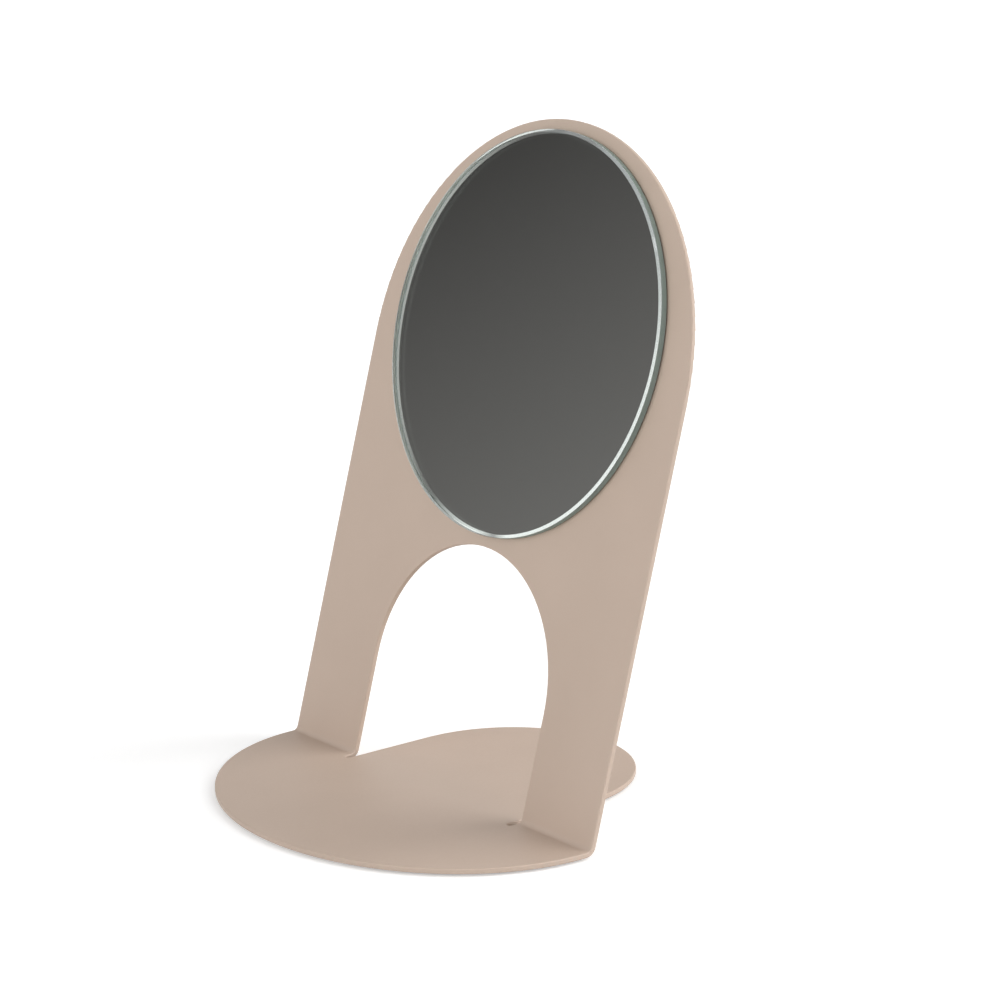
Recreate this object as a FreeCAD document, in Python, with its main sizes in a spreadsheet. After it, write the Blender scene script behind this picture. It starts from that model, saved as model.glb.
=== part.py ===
import FreeCAD, Part
import math
import os
import Sketcher

# Table mirror: a round glass mirror stuck to a stand bent from one sheet of steel.
# Millimetres, +Z up, front towards -Y, origin on the table under the middle of the footprint.
# The apex is the line where the top of the base would meet the front of the panel if the bend
# were sharp: the stand and everything on the panel is placed from the middle of that line.

SIZES = {
    # stand: one bent sheet
    "panel_width": "180",
    "panel_straight": "159",
    "lean_angle": "16",
    "base_depth": "76",
    "sheet_thickness": "2",
    "bend_radius": "2.2",
    "edge_round": "0.5",
    # window in the panel, and the tongue that is cut out of it
    "window_radius": "51",
    "window_straight": "39.5",
    "slot_width": "2.5",
    "slot_relief": "2",
    "tongue_trim": "6",
    # mirror and the tape behind it
    "mirror_diameter": "150",
    "mirror_top_margin": "4.3",
    "glass_thickness": "3",
    "bevel_width": "1.15",
    "bevel_depth": "0.47",
    "back_seam": "0.3",
    "silvering_thickness": "0.1",
    "tape_thickness": "0.4",
    "tape_width": "12",
    "tape_spacing": "42",
    "tape_inset": "8",
    # anti-slip pads
    "pad_diameter": "12",
    "pad_thickness": "1",
    "pad_round": "0.3",
    "pad_inset": "16",
    # how far a cut runs past what it cuts
    "overrun": "1",
}

HALF_WIDTH = "sizes.panel_width / 2"
BEND_ANGLE = "90 - sizes.lean_angle"
BEND_SETBACK = "sizes.bend_radius * tan((90 - sizes.lean_angle) / 2)"
BEND_OUTER_RADIUS = "sizes.bend_radius + sizes.sheet_thickness"
BASE_REACH = f"sizes.base_depth - {BEND_SETBACK}"
PANEL_HEIGHT = "sizes.panel_straight + sizes.panel_width / 2"
SLOT_END = f"{BEND_SETBACK} + sizes.slot_relief"
SLOT_RADIUS = "sizes.slot_width / 2"
TONGUE_RADIUS = "sizes.window_radius - sizes.slot_width"
TONGUE_STRAIGHT = "sizes.window_straight - sizes.tongue_trim"
TONGUE_REACH = f"{TONGUE_STRAIGHT} + {TONGUE_RADIUS}"
APEX_Y = f"(sizes.base_depth - ({TONGUE_REACH})) / 2"
APEX_Z = "sizes.pad_thickness + sizes.sheet_thickness"
MIRROR_RADIUS = "sizes.mirror_diameter / 2"
MIRROR_CENTRE = f"{PANEL_HEIGHT} - sizes.mirror_top_margin - {MIRROR_RADIUS}"
GLASS_OFFSET = "sizes.tape_thickness + sizes.silvering_thickness"
TAPE_REACH = "sizes.tape_spacing + sizes.tape_width / 2"
TAPE_HALF_LENGTH = f"sqrt(({MIRROR_RADIUS} - sizes.tape_inset)^2 - ({TAPE_REACH})^2)"
SIDE_PAD_X = f"{HALF_WIDTH} - sizes.pad_inset"
SIDE_PAD_Y = f"{APEX_Y} - sizes.pad_inset"
FRONT_PAD_Y = f"{APEX_Y} - sizes.base_depth + sizes.pad_inset"
REAR_PAD_Y = f"{APEX_Y} + {TONGUE_REACH} - sizes.pad_inset"

doc = FreeCAD.newDocument("table_mirror")
sheet = doc.addObject("Spreadsheet::Sheet", "sizes")
for row, (name, number) in enumerate(SIZES.items(), start=1):
    sheet.set(f"A{row}", number)
    sheet.setAlias(f"A{row}", name)
doc.recompute()

# The numbers that a sketch gives the points of its lines and arcs, and its own two axes.
# Its origin is the start of the axis that runs across.
START, END, CENTRE = range(1, 4)
ACROSS_AXIS, UP_AXIS = range(-1, -3, -1)
ORIGIN = (ACROSS_AXIS, START)

# Faces that meet at more than this many degrees have a sharp edge between them
SHARP_ANGLE = 20


def value(expression):
    """The number that an expression on the sheet gives now."""
    return float(sheet.evalExpression(expression))


def new_body(name):
    body = doc.addObject("PartDesign::Body", name)
    body.Label = name
    return body


def new_sketch(body, name, role):
    sketch = body.newObject("Sketcher::SketchObject", name)
    plane = [feature for feature in body.Origin.OriginFeatures if feature.Role == role]
    sketch.AttachmentSupport = [(plane[0], "")]
    sketch.MapMode = "FlatFace"
    return sketch


def add_line(sketch, start, end):
    segment = Part.LineSegment(FreeCAD.Vector(*start), FreeCAD.Vector(*end))
    return sketch.addGeometry(segment)


def add_arc(sketch, centre, radius, first_angle, last_angle):
    circle = Part.Circle(FreeCAD.Vector(*centre), FreeCAD.Vector(0, 0, 1), radius)
    arc = Part.ArcOfCircle(circle, math.radians(first_angle), math.radians(last_angle))
    return sketch.addGeometry(arc)


def constrain(sketch, kind, *where):
    sketch.addConstraint(Sketcher.Constraint(kind, *where))


def dimension(sketch, name, kind, where, expression):
    """A driving dimension of a sketch, bound to the sheet."""
    number = value(expression)
    if kind == "Angle":
        number = FreeCAD.Units.Quantity(number, FreeCAD.Units.Angle)
    index = sketch.addConstraint(Sketcher.Constraint(kind, *where, number))
    sketch.renameConstraint(index, name)
    sketch.setExpression(f"Constraints.{name}", expression)


def add_extrusion(body, kind, name, sketch, length, side="One side", downwards=False):
    feature = body.newObject(f"PartDesign::{kind}", name)
    feature.Profile = sketch
    feature.SideType = side
    feature.Reversed = downwards
    feature.setExpression("Length", length)
    return feature


def sharp_edges(shape):
    """Names of the edges where two faces of a shape meet at an angle."""
    names = []
    for number, edge in enumerate(shape.Edges, start=1):
        middle = edge.valueAt((edge.FirstParameter + edge.LastParameter) / 2)
        normals = []
        for face in shape.ancestorsOfType(edge, Part.Face):
            normals.append(face.normalAt(*face.Surface.parameter(middle)))
        if len(normals) == 2 and normals[0].getAngle(normals[1]) > math.radians(SHARP_ANGLE):
            names.append(f"Edge{number}")
    return names


def round_edges(body, name, base, edges, radius):
    fillet = body.newObject("PartDesign::Fillet", name)
    fillet.Base = (base, edges)
    fillet.setExpression("Radius", radius)
    return fillet


def place_on_panel(piece, across, along, out):
    """Lay a piece on the panel's front: its X across, its Y up the panel, its Z out of it."""
    tilt = FreeCAD.Rotation(FreeCAD.Vector(1, 0, 0), value(BEND_ANGLE))
    piece.Placement = FreeCAD.Placement(FreeCAD.Vector(), tilt)
    piece.setExpression("Placement.Rotation.Angle", BEND_ANGLE)
    piece.setExpression("Placement.Base.x", across)
    piece.setExpression(
        "Placement.Base.y",
        f"{APEX_Y} + ({along}) * sin(sizes.lean_angle) - ({out}) * cos(sizes.lean_angle)")
    piece.setExpression(
        "Placement.Base.z",
        f"{APEX_Z} + ({along}) * cos(sizes.lean_angle) + ({out}) * sin(sizes.lean_angle)")


def draw_bend_profile(body):
    """Section of the bend: a sector of a ring between the base and the panel."""
    setback = value(BEND_SETBACK)
    inner = value("sizes.bend_radius")
    outer = value(BEND_OUTER_RADIUS)
    lean = math.radians(value("sizes.lean_angle"))
    centre = (-setback, inner)
    panel_way = (math.cos(lean), -math.sin(lean))
    panel_inner = (centre[0] + inner * panel_way[0], centre[1] + inner * panel_way[1])
    panel_outer = (centre[0] + outer * panel_way[0], centre[1] + outer * panel_way[1])

    sketch = new_sketch(body, "bend_profile", "YZ_Plane")
    inside = add_arc(sketch, centre, inner, -90, -value("sizes.lean_angle"))
    panel_end = add_line(sketch, panel_inner, panel_outer)
    outside = add_arc(sketch, centre, outer, -90, -value("sizes.lean_angle"))
    base_end = add_line(sketch, (-setback, inner - outer), (-setback, 0))
    constrain(sketch, "Coincident", inside, END, panel_end, START)
    constrain(sketch, "Coincident", panel_end, END, outside, END)
    constrain(sketch, "Coincident", outside, START, base_end, START)
    constrain(sketch, "Coincident", base_end, END, inside, START)
    constrain(sketch, "Coincident", inside, CENTRE, outside, CENTRE)
    constrain(sketch, "Vertical", base_end)
    constrain(sketch, "PointOnObject", inside, CENTRE, base_end)
    constrain(sketch, "PointOnObject", inside, CENTRE, panel_end)
    dimension(sketch, "turn", "Angle", (inside,), BEND_ANGLE)
    dimension(sketch, "inner_radius", "Radius", (inside,), "sizes.bend_radius")
    dimension(sketch, "outer_radius", "Radius", (outside,), BEND_OUTER_RADIUS)
    dimension(sketch, "setback", "DistanceX", (inside, CENTRE, *ORIGIN), BEND_SETBACK)
    dimension(sketch, "rise", "DistanceY", (*ORIGIN, inside, CENTRE), "sizes.bend_radius")
    return sketch


def draw_panel_outline(body):
    """Front of the panel: an arch with the window cut up into it from the bend."""
    half = value(HALF_WIDTH)
    foot = value(BEND_SETBACK)
    shoulder = value("sizes.panel_straight")
    window = value("sizes.window_radius")
    spring = value("sizes.window_straight")

    sketch = new_sketch(body, "panel_outline", "XZ_Plane")
    tilt = FreeCAD.Rotation(FreeCAD.Vector(1, 0, 0), -value("sizes.lean_angle"))
    sketch.AttachmentOffset = FreeCAD.Placement(FreeCAD.Vector(), tilt)
    sketch.setExpression("AttachmentOffset.Rotation.Angle", "-sizes.lean_angle")
    left = add_line(sketch, (-half, foot), (-half, shoulder))
    top = add_arc(sketch, (0, shoulder), half, 0, 180)
    right = add_line(sketch, (half, shoulder), (half, foot))
    right_foot = add_line(sketch, (half, foot), (window, foot))
    window_right = add_line(sketch, (window, foot), (window, spring))
    window_top = add_arc(sketch, (0, spring), window, 0, 180)
    window_left = add_line(sketch, (-window, spring), (-window, foot))
    left_foot = add_line(sketch, (-window, foot), (-half, foot))
    constrain(sketch, "Tangent", left, END, top, END)
    constrain(sketch, "Tangent", right, START, top, START)
    constrain(sketch, "Tangent", window_right, END, window_top, START)
    constrain(sketch, "Tangent", window_left, START, window_top, END)
    constrain(sketch, "Coincident", right, END, right_foot, START)
    constrain(sketch, "Coincident", right_foot, END, window_right, START)
    constrain(sketch, "Coincident", window_left, END, left_foot, START)
    constrain(sketch, "Coincident", left_foot, END, left, START)
    for side in (left, right, window_right, window_left):
        constrain(sketch, "Vertical", side)
    for name, foot_line in (("right_foot", right_foot), ("left_foot", left_foot)):
        constrain(sketch, "Horizontal", foot_line)
        dimension(sketch, name, "DistanceY", (*ORIGIN, foot_line, START), BEND_SETBACK)
    constrain(sketch, "PointOnObject", top, CENTRE, UP_AXIS)
    constrain(sketch, "PointOnObject", window_top, CENTRE, UP_AXIS)
    dimension(sketch, "arch_radius", "Radius", (top,), HALF_WIDTH)
    dimension(sketch, "window_radius", "Radius", (window_top,), "sizes.window_radius")
    dimension(sketch, "arch_centre", "DistanceY", (*ORIGIN, top, CENTRE), "sizes.panel_straight")
    dimension(sketch, "window_centre", "DistanceY", (*ORIGIN, window_top, CENTRE), "sizes.window_straight")
    return sketch


def draw_bend_gap(body):
    """Stretch of the bend that the window takes away, seen from above."""
    half = value("sizes.window_radius")
    reach = value(f"{BEND_OUTER_RADIUS} + sizes.overrun")

    sketch = new_sketch(body, "bend_gap_outline", "XY_Plane")
    front = add_line(sketch, (-half, -reach), (half, -reach))
    right = add_line(sketch, (half, -reach), (half, reach))
    back = add_line(sketch, (half, reach), (-half, reach))
    left = add_line(sketch, (-half, reach), (-half, -reach))
    sides = (front, right, back, left)
    for side, following in zip(sides, sides[1:] + sides[:1]):
        constrain(sketch, "Coincident", side, END, following, START)
    for side in (front, back):
        constrain(sketch, "Horizontal", side)
    for side in (right, left):
        constrain(sketch, "Vertical", side)
    constrain(sketch, "Symmetric", front, START, right, END, *ORIGIN)
    dimension(sketch, "width", "DistanceX", (front, START, front, END), "2 * sizes.window_radius")
    dimension(sketch, "depth", "DistanceY", (right, START, right, END),
              f"2 * ({BEND_OUTER_RADIUS} + sizes.overrun)")
    return sketch


def draw_base_outline(body):
    """Plan of the flat part: half an ellipse in front of the bend, and the tongue behind it.

    A narrow slot on each side of the tongue runs a little past the bend and ends round.
    """
    half = value(HALF_WIDTH)
    bend_line = -value(BEND_SETBACK)
    slot_end = -value(SLOT_END)
    slot = value(SLOT_RADIUS)
    window = value("sizes.window_radius")
    tongue = value(TONGUE_RADIUS)
    tongue_centre = value(TONGUE_STRAIGHT)
    depth = value(BASE_REACH)
    centre = FreeCAD.Vector(0, bend_line)
    # The longer half-axis leads: across on a shallow base, towards the front on a deep one
    shallow = depth <= half
    if shallow:
        ellipse = Part.Ellipse(centre, half, depth)
        left_end = math.pi
    else:
        ellipse = Part.Ellipse(centre + FreeCAD.Vector(0, depth), centre - FreeCAD.Vector(half, 0), centre)
        left_end = math.pi / 2

    sketch = new_sketch(body, "base_outline", "XY_Plane")
    rim = sketch.addGeometry(Part.ArcOfEllipse(ellipse, left_end, left_end + math.pi))
    right_bend = add_line(sketch, (half, bend_line), (window, bend_line))
    right_outer = add_line(sketch, (window, bend_line), (window, slot_end))
    right_slot = add_arc(sketch, (window - slot, slot_end), slot, 180, 360)
    right_inner = add_line(sketch, (tongue, slot_end), (tongue, tongue_centre))
    tip = add_arc(sketch, (0, tongue_centre), tongue, 0, 180)
    left_inner = add_line(sketch, (-tongue, tongue_centre), (-tongue, slot_end))
    left_slot = add_arc(sketch, (slot - window, slot_end), slot, 180, 360)
    left_outer = add_line(sketch, (-window, slot_end), (-window, bend_line))
    left_bend = add_line(sketch, (-window, bend_line), (-half, bend_line))
    long_axis = sketch.GeometryCount
    short_axis = long_axis + 1
    sketch.exposeInternalGeometry(rim)
    width_axis, depth_axis = (long_axis, short_axis) if shallow else (short_axis, long_axis)

    constrain(sketch, "Coincident", rim, END, right_bend, START)
    constrain(sketch, "Coincident", right_bend, END, right_outer, START)
    constrain(sketch, "Tangent", right_outer, END, right_slot, END)
    constrain(sketch, "Tangent", right_slot, START, right_inner, START)
    constrain(sketch, "Tangent", right_inner, END, tip, START)
    constrain(sketch, "Tangent", tip, END, left_inner, START)
    constrain(sketch, "Tangent", left_inner, END, left_slot, END)
    constrain(sketch, "Tangent", left_slot, START, left_outer, START)
    constrain(sketch, "Coincident", left_outer, END, left_bend, START)
    constrain(sketch, "Coincident", left_bend, END, rim, START)
    for side in (right_outer, right_inner, left_inner, left_outer):
        constrain(sketch, "Vertical", side)
    constrain(sketch, "Horizontal", width_axis)
    constrain(sketch, "PointOnObject", rim, CENTRE, UP_AXIS)
    constrain(sketch, "PointOnObject", tip, CENTRE, UP_AXIS)
    dimension(sketch, "width_axis", "Distance", (width_axis,), "sizes.panel_width")
    dimension(sketch, "depth_axis", "Distance", (depth_axis,), f"2 * ({BASE_REACH})")
    dimension(sketch, "bend_line", "DistanceY", (rim, CENTRE, *ORIGIN), BEND_SETBACK)
    for name, bend in (("right_bend_line", right_bend), ("left_bend_line", left_bend)):
        constrain(sketch, "Horizontal", bend)
        dimension(sketch, name, "DistanceY", (bend, START, *ORIGIN), BEND_SETBACK)
    dimension(sketch, "tongue_radius", "Radius", (tip,), TONGUE_RADIUS)
    dimension(sketch, "tongue_centre", "DistanceY", (*ORIGIN, tip, CENTRE), TONGUE_STRAIGHT)
    for name, slot_arc in (("right_slot", right_slot), ("left_slot", left_slot)):
        dimension(sketch, f"{name}_radius", "Radius", (slot_arc,), SLOT_RADIUS)
        dimension(sketch, f"{name}_end", "DistanceY", (slot_arc, CENTRE, *ORIGIN), SLOT_END)
    return sketch


def build_stand():
    """The bent sheet: bend, panel, gap for the window, then the base with its tongue."""
    body = new_body("stand")
    bend = draw_bend_profile(body)
    add_extrusion(body, "Pad", "bend", bend, "sizes.panel_width", side="Symmetric")
    panel = draw_panel_outline(body)
    add_extrusion(body, "Pad", "panel", panel, "sizes.sheet_thickness", downwards=True)
    doc.recompute()
    uncut_volume = body.Shape.Volume
    gap = draw_bend_gap(body)
    gap_height = f"2 * ({BEND_OUTER_RADIUS} + sizes.overrun)"
    add_extrusion(body, "Pocket", "bend_gap", gap, gap_height, side="Symmetric")
    doc.recompute()
    if body.Shape.Volume >= uncut_volume:
        raise RuntimeError("the window left the bend uncut")
    base = draw_base_outline(body)
    flat = add_extrusion(body, "Pad", "base", base, "sizes.sheet_thickness", downwards=True)
    doc.recompute()
    round_edges(body, "edge_rounding", flat, sharp_edges(flat.Shape), "sizes.edge_round")
    body.setExpression("Placement.Base.y", APEX_Y)
    body.setExpression("Placement.Base.z", APEX_Z)
    return body


def add_disc(body, diameter, thickness):
    sketch = new_sketch(body, f"{body.Name}_outline", "XY_Plane")
    circle = Part.Circle(FreeCAD.Vector(), FreeCAD.Vector(0, 0, 1), value(diameter) / 2)
    outline = sketch.addGeometry(circle)
    constrain(sketch, "Coincident", outline, CENTRE, *ORIGIN)
    dimension(sketch, "diameter", "Diameter", (outline,), diameter)
    disc = add_extrusion(body, "Pad", f"{body.Name}_disc", sketch, thickness)
    doc.recompute()
    return disc


def rim_edge(shape, height):
    """Name of the round edge of an upright disc at a height."""
    for number, edge in enumerate(shape.Edges, start=1):
        if edge.Closed and math.isclose(edge.CenterOfMass.z, height, abs_tol=Part.Precision.confusion()):
            return f"Edge{number}"


def build_glass():
    """The mirror's glass: a disc with a narrow shallow bevel in front and a small seam at the back."""
    body = new_body("mirror_glass")
    disc = add_disc(body, "sizes.mirror_diameter", "sizes.glass_thickness")
    bevel = body.newObject("PartDesign::Chamfer", "bevel")
    bevel.Base = (disc, [rim_edge(disc.Shape, value("sizes.glass_thickness"))])
    bevel.ChamferType = "Two distances"
    bevel.setExpression("Size", "sizes.bevel_depth")
    bevel.setExpression("Size2", "sizes.bevel_width")
    doc.recompute()
    flat_front = max(bevel.Shape.Faces, key=lambda face: face.CenterOfMass.z)
    flat_rim = flat_front.OuterWire.Edges[0].Curve
    flat_radius = value(f"{MIRROR_RADIUS} - sizes.bevel_width")
    if not math.isclose(flat_rim.Radius, flat_radius, abs_tol=Part.Precision.confusion()):
        raise RuntimeError("the bevel isn't as wide as its size says")
    seam = body.newObject("PartDesign::Chamfer", "seam")
    seam.Base = (bevel, [rim_edge(bevel.Shape, 0)])
    seam.setExpression("Size", "sizes.back_seam")
    place_on_panel(body, "0", MIRROR_CENTRE, GLASS_OFFSET)
    return body


def build_silvering():
    """The reflecting coat and its paint, on the flat back of the glass inside the seam."""
    coat = doc.addObject("Part::Cylinder", "mirror_silvering")
    coat.Label = "mirror_silvering"
    coat.setExpression("Radius", f"{MIRROR_RADIUS} - sizes.back_seam")
    coat.setExpression("Height", "sizes.silvering_thickness")
    place_on_panel(coat, "0", MIRROR_CENTRE, "sizes.tape_thickness")
    return coat


def build_tape(name, steps_up):
    """One strip of double-sided tape across the panel, a number of steps above the mirror's centre."""
    strip = doc.addObject("Part::Box", name)
    strip.Label = name
    strip.setExpression("Length", f"2 * {TAPE_HALF_LENGTH}")
    strip.setExpression("Width", "sizes.tape_width")
    strip.setExpression("Height", "sizes.tape_thickness")
    lower_edge = f"{MIRROR_CENTRE} + {steps_up} * sizes.tape_spacing - sizes.tape_width / 2"
    place_on_panel(strip, f"-{TAPE_HALF_LENGTH}", lower_edge, "0")
    return strip


def build_pad(name, across, back):
    """One anti-slip pad under the sheet, with its lower rim rounded."""
    body = new_body(name)
    disc = add_disc(body, "sizes.pad_diameter", "sizes.pad_thickness")
    round_edges(body, f"{name}_rounding", disc, [rim_edge(disc.Shape, 0)], "sizes.pad_round")
    body.setExpression("Placement.Base.x", across)
    body.setExpression("Placement.Base.y", back)
    return body


pieces = [build_stand(), build_glass(), build_silvering()]
for place, steps_up in (("upper", 1), ("middle", 0), ("lower", -1)):
    pieces.append(build_tape(f"mounting_tape_{place}", steps_up))
pieces.append(build_pad("foot_pad_front", "0", FRONT_PAD_Y))
pieces.append(build_pad("foot_pad_left", f"-({SIDE_PAD_X})", SIDE_PAD_Y))
pieces.append(build_pad("foot_pad_right", SIDE_PAD_X, SIDE_PAD_Y))
pieces.append(build_pad("foot_pad_rear", "0", REAR_PAD_Y))

doc.recompute()
failed = [item.Name for item in doc.Objects if {"Invalid", "Error"} & set(item.State)]
for piece in pieces:
    if piece.Shape.isNull() or not piece.Shape.isValid():
        failed.append(piece.Label)
if failed:
    raise RuntimeError(f"not built: {failed}")

os.makedirs("parts", exist_ok=True)
for piece in pieces:
    piece.Shape.exportStep(f"parts/{piece.Label}.step")
    box = piece.Shape.optimalBoundingBox(False)
    print(f"{piece.Label}: {box.XLength:.2f} x {box.YLength:.2f} x {box.ZLength:.2f} mm")
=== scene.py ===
import math

import bpy
from mathutils import Matrix, Vector


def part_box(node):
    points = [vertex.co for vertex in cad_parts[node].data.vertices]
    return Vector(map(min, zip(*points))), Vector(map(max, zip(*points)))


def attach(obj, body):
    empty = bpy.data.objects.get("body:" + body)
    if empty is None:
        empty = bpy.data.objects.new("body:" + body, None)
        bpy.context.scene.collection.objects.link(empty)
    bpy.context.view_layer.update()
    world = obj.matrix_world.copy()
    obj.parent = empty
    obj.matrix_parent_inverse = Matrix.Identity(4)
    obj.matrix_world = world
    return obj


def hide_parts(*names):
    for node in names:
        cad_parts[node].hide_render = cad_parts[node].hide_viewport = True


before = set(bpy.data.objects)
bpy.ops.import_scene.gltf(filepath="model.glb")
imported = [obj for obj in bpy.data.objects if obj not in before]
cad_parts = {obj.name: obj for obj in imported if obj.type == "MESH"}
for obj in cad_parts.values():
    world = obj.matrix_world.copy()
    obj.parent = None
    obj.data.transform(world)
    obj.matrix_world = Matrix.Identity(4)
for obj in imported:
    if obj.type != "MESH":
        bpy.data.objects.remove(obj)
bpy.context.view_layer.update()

# The stand is one sheet of 2 mm steel, laser cut to an arch with a window and folded once along
# the foot line. The tongue cut out of the window stays flat as the rear foot.
# It is powder coated in a warm satin beige.
COAT_COLOUR = (0.490, 0.382, 0.308, 1.0)
COAT_COLOUR_PALE = (0.512, 0.400, 0.324, 1.0)
COAT_GLOSS = 0.55
COAT_ROUGHNESS = (0.52, 0.62)
COAT_DRIFT_PER_METRE = 22.0
COAT_DRIFT_DETAIL = 3.0
COAT_GRAIN_PER_METRE = 1500.0
COAT_GRAIN_HEIGHT = 0.00003
COAT_GRAIN_STRENGTH = 0.5
GRAIN_DETAIL = 2.0
# Most values of a noise lie between these two
NOISE_LOW, NOISE_HIGH = 0.3, 0.7
# The places of a Mix node's colour sockets, which share their names with its other sockets
MIX_FIRST, MIX_SECOND, MIX_RESULT = 6, 7, 2


def add_node(tree, kind, inputs=None, **settings):
    """A new node of the tree, with its inputs set to values or linked to other nodes' sockets."""
    node = tree.nodes.new(kind)
    for name, value in settings.items():
        setattr(node, name, value)
    for name, value in (inputs or {}).items():
        if isinstance(value, bpy.types.NodeSocket):
            tree.links.new(value, node.inputs[name])
        else:
            node.inputs[name].default_value = value
    return node


def new_finish(name, inputs):
    """A material with its Principled shader's own inputs set, its node tree and the shader."""
    finish = bpy.data.materials.new(name)
    finish.use_nodes = True
    shader = finish.node_tree.nodes["Principled BSDF"]
    for socket, value in inputs.items():
        shader.inputs[socket].default_value = value
    return finish, finish.node_tree, shader


def place_on_piece(tree):
    """The place on the piece, in metres, that its patterns follow."""
    return add_node(tree, "ShaderNodeTexCoord").outputs["Object"]


def noise(tree, per_metre, detail=GRAIN_DETAIL):
    """Soft noise from 0 to 1 with a given number of waves in a metre."""
    sockets = {"Vector": place_on_piece(tree), "Scale": per_metre, "Detail": detail}
    return add_node(tree, "ShaderNodeTexNoise", sockets).outputs["Fac"]


def spread(tree, value, limits):
    """A noise value spread between two limits."""
    low, high = limits
    sockets = {
        "Value": value,
        "From Min": NOISE_LOW,
        "From Max": NOISE_HIGH,
        "To Min": low,
        "To Max": high,
    }
    return add_node(tree, "ShaderNodeMapRange", sockets).outputs["Result"]


def blend_colours(tree, share, first, second):
    """The colour between two colours at a share that varies over the surface."""
    mix = add_node(tree, "ShaderNodeMix", {"Factor": share}, data_type="RGBA")
    mix.inputs[MIX_FIRST].default_value = first
    mix.inputs[MIX_SECOND].default_value = second
    return mix.outputs[MIX_RESULT]


def link_bump(tree, shader, height, distance, strength):
    """Small relief on the surface from a height that varies over it."""
    sockets = {"Height": height, "Distance": distance, "Strength": strength}
    bump = add_node(tree, "ShaderNodeBump", sockets)
    tree.links.new(bump.outputs["Normal"], shader.inputs["Normal"])


coat, tree, shader = new_finish("powder_coat_beige", {"Specular IOR Level": COAT_GLOSS})
drift = noise(tree, COAT_DRIFT_PER_METRE, COAT_DRIFT_DETAIL)
grain = noise(tree, COAT_GRAIN_PER_METRE)
colour = blend_colours(tree, spread(tree, drift, (0.0, 1.0)), COAT_COLOUR, COAT_COLOUR_PALE)
tree.links.new(colour, shader.inputs["Base Color"])
tree.links.new(spread(tree, grain, COAT_ROUGHNESS), shader.inputs["Roughness"])
link_bump(tree, shader, grain, COAT_GRAIN_HEIGHT, COAT_GRAIN_STRENGTH)
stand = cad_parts["stand"]
stand.data.materials.clear()
stand.data.materials.append(coat)

# The four foot pads are thin discs of soft grey rubber with moulded grip rings underneath.
# They are stuck under the base and the tongue so that the bare sheet doesn't slide or scratch.
PAD_NODES = ["foot_pad_front", "foot_pad_left", "foot_pad_right", "foot_pad_rear"]
PAD_SEGMENTS = 64
PAD_CORNER_ROUND = 0.00005
PAD_RINGS = 4
PAD_RING_DEPTH = 0.00015
# Half a groove's width at its mouth and at its floor, as shares of the distance between grooves
GROOVE_MOUTH, GROOVE_FLOOR = 0.2, 0.1
PAD_COLOUR = (0.34, 0.325, 0.31, 1.0)
PAD_COLOUR_DARK = (0.30, 0.285, 0.27, 1.0)
PAD_GLOSS = 0.35
PAD_ROUGHNESS = (0.75, 0.9)
PAD_GRAIN_PER_METRE = 2500.0
PAD_GRAIN_HEIGHT = 0.00004
PAD_GRAIN_STRENGTH = 0.6
CORNER_STEPS = 3
# Points of a turned disc that are nearer than this are joined, which closes its middle
POLE_REACH = 1e-6
# An edge that bends by more than this many steps of the circle is sharp
SHARP_STEPS = 2.0
# The least height of a bevel's normal and of a flat face's, and one that no normal reaches
BEVEL_NORMAL, FLAT_NORMAL, PAST_NORMAL = 0.3, 0.999, 2.0


def new_tree(name, sockets):
    """An empty Geometry Nodes tree with a geometry in and out and the named inputs."""
    tree = bpy.data.node_groups.new(name, "GeometryNodeTree")
    tree.interface.new_socket("Geometry", in_out="INPUT", socket_type="NodeSocketGeometry")
    tree.interface.new_socket("Geometry", in_out="OUTPUT", socket_type="NodeSocketGeometry")
    for socket, kind in sockets.items():
        tree.interface.new_socket(socket, in_out="INPUT", socket_type=kind)
    return tree, tree.nodes.new("NodeGroupInput").outputs


def end_tree(tree, geometry, finishes):
    """Ends a tree in Realize Instances and one Set Material for each finish and its faces."""
    last = add_node(tree, "GeometryNodeRealizeInstances", {"Geometry": geometry})
    for finish, faces in finishes:
        sockets = {"Geometry": last.outputs["Geometry"], "Material": finish}
        if faces is not None:
            sockets["Selection"] = faces
        last = add_node(tree, "GeometryNodeSetMaterial", sockets)
    add_node(tree, "NodeGroupOutput", {"Geometry": last.outputs["Geometry"]})


def facing(tree, least, greatest):
    """The faces whose normal's height lies between two limits."""
    normal = add_node(tree, "GeometryNodeInputNormal").outputs["Normal"]
    height = add_node(tree, "ShaderNodeSeparateXYZ", {"Vector": normal}).outputs["Z"]
    above = add_node(
        tree, "FunctionNodeCompare", {"A": height, "B": least}, operation="GREATER_THAN"
    ).outputs["Result"]
    below = add_node(
        tree, "FunctionNodeCompare", {"A": height, "B": greatest}, operation="LESS_THAN"
    ).outputs["Result"]
    both = add_node(tree, "FunctionNodeBooleanMath", {0: above, 1: below}, operation="AND")
    return both.outputs["Boolean"]


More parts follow.
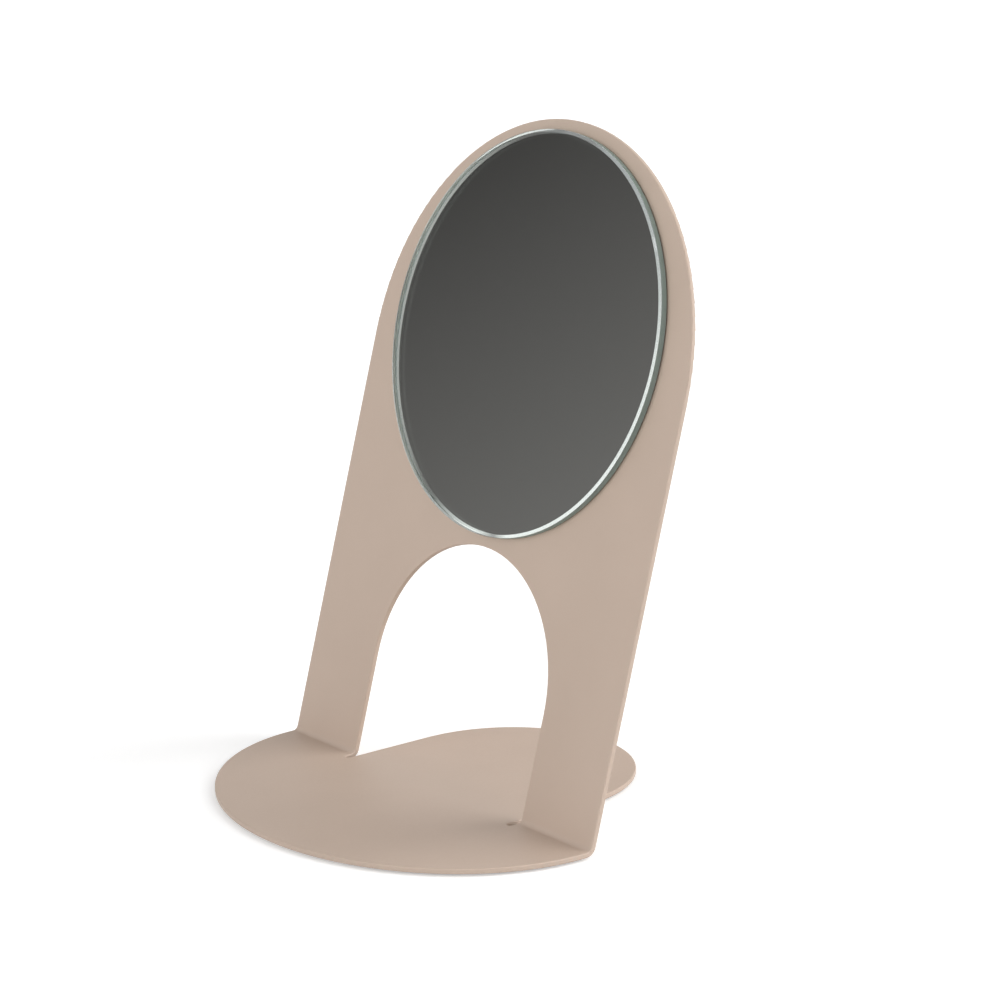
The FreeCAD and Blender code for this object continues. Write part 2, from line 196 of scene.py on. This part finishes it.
def turned_tree():
    """A tree that turns the profile of a disc round the Z axis, with its corners rounded."""
    tree, sizes = new_tree(
        "turned_disc",
        {
            "Radius": "NodeSocketFloat",
            "Corner round": "NodeSocketFloat",
            "Segments": "NodeSocketInt",
            "Top finish": "NodeSocketMaterial",
            "Bevel finish": "NodeSocketMaterial",
            "Edge finish": "NodeSocketMaterial",
            "Under finish": "NodeSocketMaterial",
        },
    )
    line = add_node(tree, "GeometryNodeMeshToCurve", {"Mesh": sizes["Geometry"]})
    rounded = add_node(
        tree,
        "GeometryNodeFilletCurve",
        {
            "Curve": line.outputs["Curve"],
            "Radius": sizes["Corner round"],
            "Count": CORNER_STEPS,
            "Limit Radius": True,
        },
        mode="POLY",
    )
    circle = add_node(
        tree,
        "GeometryNodeCurvePrimitiveCircle",
        {"Radius": sizes["Radius"], "Resolution": sizes["Segments"]},
    )
    upright = add_node(
        tree, "GeometryNodeSetCurveNormal", {"Curve": circle.outputs["Curve"]}, mode="Z_UP"
    )
    swept = add_node(
        tree,
        "GeometryNodeCurveToMesh",
        {"Curve": upright.outputs["Curve"], "Profile Curve": rounded.outputs["Curve"]},
    )
    closed = add_node(
        tree,
        "GeometryNodeMergeByDistance",
        {"Geometry": swept.outputs["Mesh"], "Distance": POLE_REACH},
    )
    angle = add_node(tree, "GeometryNodeInputMeshEdgeAngle").outputs["Unsigned Angle"]
    sharp_angle = add_node(
        tree,
        "ShaderNodeMath",
        {0: SHARP_STEPS * 2 * math.pi, 1: sizes["Segments"]},
        operation="DIVIDE",
    ).outputs["Value"]
    corner = add_node(
        tree, "FunctionNodeCompare", {"A": angle, "B": sharp_angle}, operation="GREATER_THAN"
    ).outputs["Result"]
    shaded = add_node(
        tree,
        "GeometryNodeSetShadeSmooth",
        {"Geometry": closed.outputs["Geometry"], "Selection": corner, "Shade Smooth": False},
        domain="EDGE",
    )
    end_tree(
        tree,
        shaded.outputs["Geometry"],
        [
            (sizes["Edge finish"], None),
            (sizes["Bevel finish"], facing(tree, BEVEL_NORMAL, FLAT_NORMAL)),
            (sizes["Top finish"], facing(tree, FLAT_NORMAL, PAST_NORMAL)),
            (sizes["Under finish"], facing(tree, -PAST_NORMAL, -FLAT_NORMAL)),
        ],
    )
    return tree


def made_by_tree(name, tree, inputs, points, edges=()):
    """A piece with the plain mesh that a tree makes from points and their edges."""
    mesh = bpy.data.meshes.new(name)
    mesh.from_pydata(points, edges, [])
    piece = bpy.data.objects.new(name, mesh)
    bpy.context.scene.collection.objects.link(piece)
    modifier = piece.modifiers.new("shape", "NODES")
    modifier.node_group = tree
    for item in tree.interface.items_tree:
        if item.in_out == "INPUT" and item.name in inputs:
            modifier[item.identifier] = inputs[item.name]
    depsgraph = bpy.context.evaluated_depsgraph_get()
    shaped = bpy.data.meshes.new_from_object(
        piece.evaluated_get(depsgraph), preserve_all_data_layers=True, depsgraph=depsgraph
    )
    piece.modifiers.clear()
    piece.data = shaped
    bpy.data.meshes.remove(mesh)
    shaped.name = name
    return piece


def turned(name, profile, radius, corner_round, segments, top, bevel, edge, under):
    """A disc turned from its profile, given as (radius, height) from the top's middle downwards."""
    points = [(out - radius, -height, 0.0) for out, height in profile]
    edges = [(i, i + 1) for i in range(len(points) - 1)]
    inputs = {
        "Radius": radius,
        "Corner round": corner_round,
        "Segments": segments,
        "Top finish": top,
        "Bevel finish": bevel,
        "Edge finish": edge,
        "Under finish": under,
    }
    return made_by_tree(name, disc_tree, inputs, points, edges)


disc_tree = turned_tree()
rubber, tree, shader = new_finish("pad_rubber", {"Specular IOR Level": PAD_GLOSS})
grain = noise(tree, PAD_GRAIN_PER_METRE)
colour = blend_colours(tree, grain, PAD_COLOUR, PAD_COLOUR_DARK)
tree.links.new(colour, shader.inputs["Base Color"])
tree.links.new(spread(tree, grain, PAD_ROUGHNESS), shader.inputs["Roughness"])
link_bump(tree, shader, grain, PAD_GRAIN_HEIGHT, PAD_GRAIN_STRENGTH)

pad_low, pad_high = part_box(PAD_NODES[0])
pad_radius = (pad_high.x - pad_low.x) / 2
pad_height = pad_high.z - pad_low.z
groove_pitch = pad_radius / (PAD_RINGS + 1)
half_mouth = GROOVE_MOUTH * groove_pitch
half_floor = GROOVE_FLOOR * groove_pitch
pad_profile = [(0.0, pad_height), (pad_radius, pad_height), (pad_radius, 0.0)]
for ring in range(PAD_RINGS, 0, -1):
    groove = ring * groove_pitch
    pad_profile += [
        (groove + half_mouth, 0.0),
        (groove + half_floor, PAD_RING_DEPTH),
        (groove - half_floor, PAD_RING_DEPTH),
        (groove - half_mouth, 0.0),
    ]
pad_profile.append((0.0, 0.0))
pad = turned(
    "one_foot_pad",
    pad_profile,
    pad_radius,
    PAD_CORNER_ROUND,
    PAD_SEGMENTS,
    rubber,
    rubber,
    rubber,
    rubber,
)

pads_tree, sizes = new_tree(
    "pads_under_base", {"Pad": "NodeSocketObject", "Finish": "NodeSocketMaterial"}
)
shape = add_node(pads_tree, "GeometryNodeObjectInfo", {"Object": sizes["Pad"]})
placed = add_node(
    pads_tree,
    "GeometryNodeInstanceOnPoints",
    {"Points": sizes["Geometry"], "Instance": shape.outputs["Geometry"]},
)
end_tree(pads_tree, placed.outputs["Instances"], [(sizes["Finish"], None)])
pad_boxes = [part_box(node) for node in PAD_NODES]
pad_places = [((low.x + high.x) / 2, (low.y + high.y) / 2, low.z) for low, high in pad_boxes]
foot_pads = made_by_tree("foot_pads", pads_tree, {"Pad": pad, "Finish": rubber}, pad_places)
bpy.data.objects.remove(pad)
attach(foot_pads, "root")
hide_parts(*PAD_NODES)

# Three strips of thin white foam tape lie across the panel, with adhesive on both sides.
# They hold the mirror and are hidden behind it, apart from a sliver of their edges.
TAPE_NODES = ["mounting_tape_upper", "mounting_tape_middle", "mounting_tape_lower"]
TAPE_COLOUR = (0.72, 0.72, 0.69, 1.0)
TAPE_COLOUR_DARK = (0.60, 0.60, 0.57, 1.0)
TAPE_GLOSS = 0.2
TAPE_ROUGHNESS = (0.8, 0.95)
TAPE_CELLS_PER_METRE = 4000.0
TAPE_CELL_HEIGHT = 0.00005
TAPE_CELL_STRENGTH = 0.7

foam, tree, shader = new_finish("foam_tape", {"Specular IOR Level": TAPE_GLOSS})
cells = add_node(
    tree,
    "ShaderNodeTexVoronoi",
    {"Vector": place_on_piece(tree), "Scale": TAPE_CELLS_PER_METRE},
).outputs["Distance"]
colour = blend_colours(tree, cells, TAPE_COLOUR_DARK, TAPE_COLOUR)
tree.links.new(colour, shader.inputs["Base Color"])
tree.links.new(spread(tree, cells, TAPE_ROUGHNESS), shader.inputs["Roughness"])
link_bump(tree, shader, cells, TAPE_CELL_HEIGHT, TAPE_CELL_STRENGTH)
for node in TAPE_NODES:
    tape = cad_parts[node]
    tape.data.materials.clear()
    tape.data.materials.append(foam)

# The silvering is the reflecting coat on the back of the mirror, sealed with grey paint.
# It is laid on the glass, so it stops just short of the seamed edge.
SILVER_COLOUR = (0.877, 0.919, 0.896, 1.0)
SILVER_ROUGHNESS = (0.0, 0.012)
SILVER_HAZE_PER_METRE = 60.0
SILVER_HAZE_DETAIL = 4.0
BACK_PAINT_COLOUR = (0.20, 0.205, 0.205, 1.0)
BACK_PAINT_PALE = (0.24, 0.245, 0.24, 1.0)
BACK_PAINT_ROUGHNESS = (0.5, 0.65)
BACK_PAINT_GRAIN_PER_METRE = 900.0
MIRROR_SEGMENTS = 360
# The silver's front lies this far behind the glass, so that the two faces stay apart
GLASS_GAP = 0.00001

silver, tree, shader = new_finish(
    "mirror_silver", {"Base Color": SILVER_COLOUR, "Metallic": 1.0}
)
haze = noise(tree, SILVER_HAZE_PER_METRE, SILVER_HAZE_DETAIL)
tree.links.new(spread(tree, haze, SILVER_ROUGHNESS), shader.inputs["Roughness"])

back_paint, tree, shader = new_finish("mirror_back_paint", {})
grain = noise(tree, BACK_PAINT_GRAIN_PER_METRE)
colour = blend_colours(tree, grain, BACK_PAINT_COLOUR, BACK_PAINT_PALE)
tree.links.new(colour, shader.inputs["Base Color"])
tree.links.new(spread(tree, grain, BACK_PAINT_ROUGHNESS), shader.inputs["Roughness"])

silver_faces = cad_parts["mirror_silvering"].data.polygons
mirror_front = min((face.normal for face in silver_faces), key=lambda normal: normal.y).copy()
mirror_across = Vector((1.0, 0.0, 0.0))
mirror_up = mirror_front.cross(mirror_across)
silver_low, silver_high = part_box("mirror_silvering")
silver_radius = (silver_high.x - silver_low.x) / 2
tape_low, tape_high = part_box("mounting_tape_middle")


def thickness(node):
    """A node's size square to the panel."""
    depths = [vertex.co.dot(mirror_front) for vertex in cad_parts[node].data.vertices]
    return max(depths) - min(depths)


silver_thickness = thickness("mirror_silvering")
glass_back = thickness("mounting_tape_middle") / 2 + silver_thickness
mirror_place = Matrix((mirror_across, mirror_up, mirror_front)).transposed().to_4x4()
mirror_place.translation = (tape_low + tape_high) / 2 + mirror_front * glass_back

silver_profile = [
    (0.0, -GLASS_GAP),
    (silver_radius, -GLASS_GAP),
    (silver_radius, -silver_thickness),
    (0.0, -silver_thickness),
]
silvering = turned(
    "silvering",
    silver_profile,
    silver_radius,
    0.0,
    MIRROR_SEGMENTS,
    silver,
    back_paint,
    back_paint,
    back_paint,
)
silvering.data.transform(mirror_place)
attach(silvering, "root")
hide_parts("mirror_silvering")

# The mirror is a round disc of 3 mm float glass, cut, ground round the edge and given a narrow
# polished bevel in front and a small seam behind. The tape holds it just off the panel.
BEVEL_WIDTH = 0.00115
BEVEL_DEPTH = 0.00047
BACK_SEAM = 0.0003
GLASS_ROUND = 0.00008
GLASS_IOR = 1.52
FACE_COLOUR = (1.0, 1.0, 1.0, 1.0)
FACE_CLEARNESS = 1.0
FACE_ROUGHNESS = (0.0, 0.015)
BEVEL_COLOUR = (0.975, 1.0, 0.985, 1.0)
BEVEL_CLEARNESS = 0.92
BEVEL_ROUGHNESS = (0.02, 0.06)
EDGE_COLOUR = (0.57, 0.73, 0.655, 1.0)
EDGE_CLEARNESS = 0.68
EDGE_ROUGHNESS = (0.42, 0.56)
SMEARS_PER_METRE = 40.0
GRINDING_PER_METRE = 1800.0


def glass_finish(name, colour, clearness, roughness, marks_per_metre):
    """Float glass with marks on it that vary its roughness between two limits."""
    inputs = {"Base Color": colour, "Transmission Weight": clearness, "IOR": GLASS_IOR}
    finish, tree, shader = new_finish(name, inputs)
    marks = noise(tree, marks_per_metre)
    tree.links.new(spread(tree, marks, roughness), shader.inputs["Roughness"])
    return finish


clear_glass = glass_finish(
    "clear_glass", FACE_COLOUR, FACE_CLEARNESS, FACE_ROUGHNESS, SMEARS_PER_METRE
)
polished_bevel = glass_finish(
    "polished_bevel", BEVEL_COLOUR, BEVEL_CLEARNESS, BEVEL_ROUGHNESS, GRINDING_PER_METRE
)
ground_edge = glass_finish(
    "ground_edge", EDGE_COLOUR, EDGE_CLEARNESS, EDGE_ROUGHNESS, GRINDING_PER_METRE
)

glass_low, glass_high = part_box("mirror_glass")
glass_radius = (glass_high.x - glass_low.x) / 2
glass_thickness = thickness("mirror_glass")
glass_profile = [
    (0.0, glass_thickness),
    (glass_radius - BEVEL_WIDTH, glass_thickness),
    (glass_radius, glass_thickness - BEVEL_DEPTH),
    (glass_radius, BACK_SEAM),
    (glass_radius - BACK_SEAM, 0.0),
    (0.0, 0.0),
]
glass = turned(
    "glass_disc",
    glass_profile,
    glass_radius,
    GLASS_ROUND,
    MIRROR_SEGMENTS,
    clear_glass,
    polished_bevel,
    ground_edge,
    clear_glass,
)
glass.data.transform(mirror_place)
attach(glass, "root")
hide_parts("mirror_glass")

# The floor is a plain pale table top that carries on to a white background.
# To the camera, and in gloss and glass, it is lifted to white and keeps the object's shadow.
FLOOR_HALF = 6.0
FLOOR_COLOUR = (0.8, 0.8, 0.8, 1.0)
FLOOR_LIFT = 0.37


def seen_share(tree):
    """1 for a ray from the camera, a gloss or glass, and 0 for one that only carries light."""
    path = add_node(tree, "ShaderNodeLightPath").outputs
    share = path["Is Camera Ray"]
    for kind in ("Is Glossy Ray", "Is Transmission Ray"):
        either = add_node(tree, "ShaderNodeMath", {0: share, 1: path[kind]}, operation="MAXIMUM")
        share = either.outputs["Value"]
    return share


def emptied_tree(thing):
    """The node tree of a material or a world, with no nodes in it."""
    thing.use_nodes = True
    thing.node_tree.nodes.clear()
    return thing.node_tree


def stage_mesh(name, points, faces, finish):
    """A stage object with a plain mesh."""
    mesh = bpy.data.meshes.new(name)
    mesh.from_pydata(points, [], faces)
    mesh.materials.append(finish)
    stage = bpy.data.objects.new(name, mesh)
    bpy.context.scene.collection.objects.link(stage)
    return stage


table_top = bpy.data.materials.new("table_top")
tree = emptied_tree(table_top)
matt = add_node(tree, "ShaderNodeBsdfDiffuse", {"Color": FLOOR_COLOUR}).outputs["BSDF"]
lift = add_node(tree, "ShaderNodeEmission", {"Strength": FLOOR_LIFT}).outputs["Emission"]
lifted = add_node(tree, "ShaderNodeAddShader", {0: matt, 1: lift}).outputs["Shader"]
floor_look = add_node(tree, "ShaderNodeMixShader", {"Fac": seen_share(tree), 1: matt, 2: lifted})
add_node(tree, "ShaderNodeOutputMaterial", {"Surface": floor_look.outputs["Shader"]})
corners = ((-1, -1), (1, -1), (1, 1), (-1, 1))
floor_corners = [(x * FLOOR_HALF, y * FLOOR_HALF, 0.0) for x, y in corners]
stage_mesh("floor", floor_corners, [(0, 1, 2, 3)], table_top)

# The studio round the front is a glowing sheet that lights nothing, shows only in gloss and in the
# mirror, and throws no shadow: its colours are a painted reflection of the studio's light and
# shade.
# It shows a grey wall with a dark front and, at the left, a dark screen that is paler at its foot.
# It is white beside the screen and in a band above it, as painted light, and grey over that.
WALL_RADIUS = 1.3
WALL_HEIGHT = 1.2
WALL_ROWS = 60
# The wall's ends, in degrees from the front towards the right, with one column for each degree
WALL_FROM, WALL_TO = -115, 115
# Painted shade: the wall is darker at its foot, where it meets the floor.
WALL_FOOT_SHADE = Vector((0.13, 0.13, 0.127))
WALL_PALE = Vector((0.50, 0.496, 0.484))
# Higher up, the wall and its dark front grow darker: a painted gradient of shade.
WALL_HIGH = Vector((0.26, 0.26, 0.255))
FRONT_LOW = Vector((0.34, 0.325, 0.315))
FRONT_HIGH = Vector((0.05, 0.048, 0.047))
# Painted shade: the grey strip along the foot of the screen and beside it stands for the table
# lying in shade.
FOOT_SHADE_GREY = Vector((0.30, 0.31, 0.32))
# Painted light: the white stands in for bright light beside the screen and in a band above it.
WALL_WHITE = Vector((0.98, 1.0, 0.985))
UPPER_GREY = Vector((0.38, 0.375, 0.37))
SCREEN_TINT = Vector((1.0, 0.95, 0.93))
# How pale the screen is at the origin, how that changes over a metre, and its limits: a painted
# gradient of light, paler towards the right and lower down
SCREEN_LEVEL = 0.671
SCREEN_SLOPE = Vector((0.474, 0.0, -0.2))
SCREEN_DARKEST, SCREEN_PALEST = 0.055, 0.175
# Where one colour passes into the next: turns in degrees, then heights in metres
FRONT_LEFT = (-34.0, -28.0)
FRONT_RIGHT = (34.0, 40.0)
SCREEN_LEFT = (-60.0, -57.8)
SCREEN_RIGHT = (-47.5, -41.0)
WALL_RISE = (0.0, 0.4)
WALL_FADE = (0.4, 1.0)
FRONT_FADE = (0.1, 1.0)
SCREEN_FOOT = (0.10, 0.225)
SCREEN_TOP = (0.55, 0.60)
COVE = (0.0, 0.10)
BESIDE_FOOT = (0.17, 0.275)
UPPER_FOOT = (0.63, 0.74)


def past(limits, value):
    """How far a value is past the first limit on its way to the second, eased from 0 to 1."""
    share = min(max((value - limits[0]) / (limits[1] - limits[0]), 0.0), 1.0)
    return share * share * (3.0 - 2.0 * share)


def painted_reflection_at(turn, point):
    """The painted reflection at a point on the studio wall, the light and shade that gloss and the
    mirror show there, as bright as it shows.
    """
    # Painted shade: the wall darkens towards its foot.
    wall = WALL_FOOT_SHADE.lerp(WALL_PALE, past(WALL_RISE, point.z))
    # Painted shade: the wall darkens again towards its top.
    wall = wall.lerp(WALL_HIGH, past(WALL_FADE, point.z))
    # The dark front is paler low down and darker higher up, a painted gradient of light and shade.
    front = FRONT_LOW.lerp(FRONT_HIGH, past(FRONT_FADE, point.z))
    in_front = past(FRONT_LEFT, turn) * (1.0 - past(FRONT_RIGHT, turn))
    # The screen's painted gradient of light: paler towards the right and lower down.
    pale = SCREEN_LEVEL + SCREEN_SLOPE.dot(point)
    pale = min(max(pale, SCREEN_DARKEST), SCREEN_PALEST)
    # The screen's foot turns to the grey of the painted shade.
    screen = FOOT_SHADE_GREY.lerp(SCREEN_TINT * pale, past(SCREEN_FOOT, point.z))
    # Beside the screen, a band of painted shade runs just above the floor, with white below and
    # above it.
    cove = WALL_WHITE.lerp(FOOT_SHADE_GREY, past(COVE, point.z))
    beside = cove.lerp(WALL_WHITE, past(BESIDE_FOOT, point.z))
    at_left = screen.lerp(beside, 1.0 - past(SCREEN_LEFT, turn))
    # Above the screen, a band of painted light, then grey.
    at_left = at_left.lerp(WALL_WHITE, past(SCREEN_TOP, point.z))
    at_left = at_left.lerp(UPPER_GREY, past(UPPER_FOOT, point.z))
    return wall.lerp(front, in_front).lerp(at_left, 1.0 - past(SCREEN_RIGHT, turn))


painted_reflection_finish = bpy.data.materials.new("studio_wall")
tree = emptied_tree(painted_reflection_finish)
painted = add_node(tree, "ShaderNodeAttribute", attribute_name="paint").outputs["Color"]
# The sheet glows in its painted colours of light and shade, though it is no lamp.
glow = add_node(tree, "ShaderNodeEmission", {"Color": painted})
add_node(tree, "ShaderNodeOutputMaterial", {"Surface": glow.outputs["Emission"]})
wall_turns = range(WALL_FROM, WALL_TO + 1)
wall_points = []
wall_paint = []
for turn in wall_turns:
    angle = math.radians(turn)
    for row in range(WALL_ROWS + 1):
        height = WALL_HEIGHT * row / WALL_ROWS
        point = Vector((WALL_RADIUS * math.sin(angle), -WALL_RADIUS * math.cos(angle), height))
        wall_points.append(point)
        wall_paint += [*painted_reflection_at(turn, point), 1.0]
wall_faces = []
for column in range(len(wall_turns) - 1):
    for row in range(WALL_ROWS):
        corner = column * (WALL_ROWS + 1) + row
        across = corner + WALL_ROWS + 1
        wall_faces.append((corner, across, across + 1, corner + 1))
wall = stage_mesh("studio_wall", wall_points, wall_faces, painted_reflection_finish)
wall.data.attributes.new("paint", "FLOAT_COLOR", "POINT").data.foreach_set("color", wall_paint)
wall.visible_camera = False
wall.visible_diffuse = False
wall.visible_shadow = False
wall.visible_volume_scatter = False

# Soft studio light: a plain white surround and two large soft lamps.
# To the camera, and in gloss and glass, the surround is plain white.
WHITE = (1.0, 1.0, 1.0, 1.0)
SURROUND_LIGHT = 0.42
SURROUND_SEEN = 1.0
LAMP_SPREAD = math.radians(60.0)
# Each lamp's turn from the front towards the right and its rise, in degrees, and its strength
LAMPS = {
    "lamp_back_right": (130.0, 30.0, 2.65),
    "lamp_front": (0.0, 12.0, 1.85),
}


def towards(turn, rise):
    """The direction at a turn from the front towards the right, and a rise above the floor."""
    return Vector(
        (
            math.sin(turn) * math.cos(rise),
            -math.cos(turn) * math.cos(rise),
            math.sin(rise),
        )
    )


studio = bpy.data.worlds.new("studio")
bpy.context.scene.world = studio
tree = emptied_tree(studio)
light, white = [
    add_node(tree, "ShaderNodeBackground", {"Color": WHITE, "Strength": strength})
    for strength in (SURROUND_LIGHT, SURROUND_SEEN)
]
surround = add_node(
    tree,
    "ShaderNodeMixShader",
    {"Fac": seen_share(tree), 1: light.outputs["Background"], 2: white.outputs["Background"]},
)
add_node(tree, "ShaderNodeOutputWorld", {"Surface": surround.outputs["Shader"]})

for name, (turn, rise, strength) in LAMPS.items():
    lamp_light = bpy.data.lights.new(name, "SUN")
    lamp_light.angle = LAMP_SPREAD
    lamp_light.energy = strength
    lamp = bpy.data.objects.new(name, lamp_light)
    bpy.context.scene.collection.objects.link(lamp)
    direction = towards(math.radians(turn), math.radians(rise))
    lamp.rotation_euler = direction.to_track_quat("Z", "Y").to_euler()

# The camera stands to the right of the object, a little above it, with a long lens.
# Its place, roll and lens bring the object's outline onto the photograph's.
VIEW_AZIMUTH = math.radians(52.26)
VIEW_ELEVATION = math.radians(14.03)
VIEW_ROLL = math.radians(-1.14)
VIEW_DISTANCE = 1.0906
VIEW_AIM = Vector((0.04285, -0.00317, 0.11976))
VIEW_LENS_MM = 112.71
SENSOR_MM = 36.0

lens = bpy.data.cameras.new("camera")
lens.sensor_width = SENSOR_MM
lens.lens = VIEW_LENS_MM
camera = bpy.data.objects.new("camera", lens)
bpy.context.scene.collection.objects.link(camera)
bpy.context.scene.camera = camera
towards_camera = towards(VIEW_AZIMUTH, VIEW_ELEVATION)
level_right = Vector((0.0, 0.0, 1.0)).cross(towards_camera).normalized()
level_up = towards_camera.cross(level_right)
rolled_right = level_right * math.cos(VIEW_ROLL) + level_up * math.sin(VIEW_ROLL)
rolled_up = level_up * math.cos(VIEW_ROLL) - level_right * math.sin(VIEW_ROLL)
view = Matrix((rolled_right, rolled_up, towards_camera)).transposed().to_4x4()
view.translation = VIEW_AIM + towards_camera * VIEW_DISTANCE
camera.matrix_world = view

bpy.context.scene.view_settings.view_transform = "Standard"
